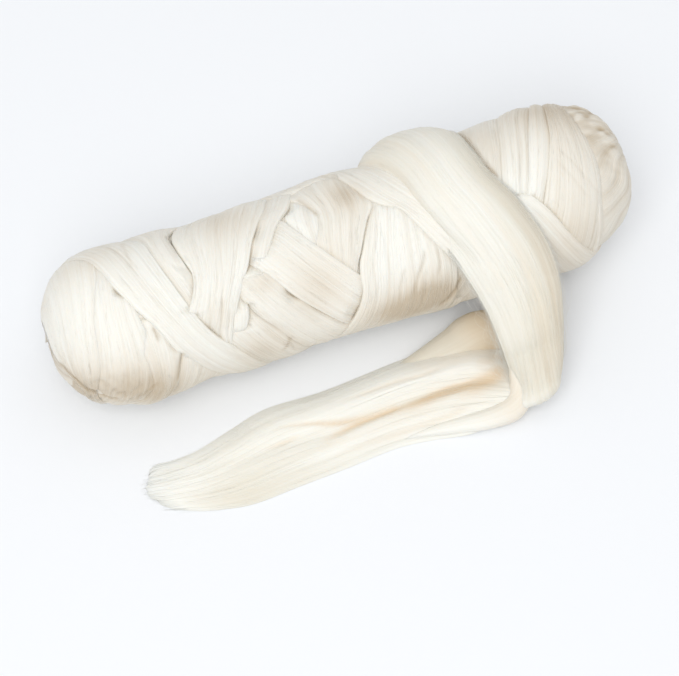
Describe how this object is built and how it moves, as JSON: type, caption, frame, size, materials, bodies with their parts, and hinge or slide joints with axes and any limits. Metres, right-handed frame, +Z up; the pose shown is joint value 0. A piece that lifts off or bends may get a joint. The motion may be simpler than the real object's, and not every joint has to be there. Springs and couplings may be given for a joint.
{
  "type": "wool roving roll",
  "caption": "Long soft roll of undyed combed wool roving, wound in crossing bands, with its loose end folded under and laid along the surface.",
  "frame": {"origin": "middle of the roll's flat spot, on the surface that it lies on", "axes": "+X along the roll, towards the end near which the loose end comes off; +Z up; the loose end lies in front, towards -Y"},
  "size_m": [0.28, 0.1394, 0.0824],
  "materials": {
    "wool_wound": "undyed combed wool wound tight, satin sheen along the fibres",
    "wool_loose": "undyed combed wool lying loose, soft and slightly fuzzy"
  },
  "bodies": {
    "root": {"wound_roll": "wool_wound", "loose_end": "wool_loose"}
  },
  "joints": []
}
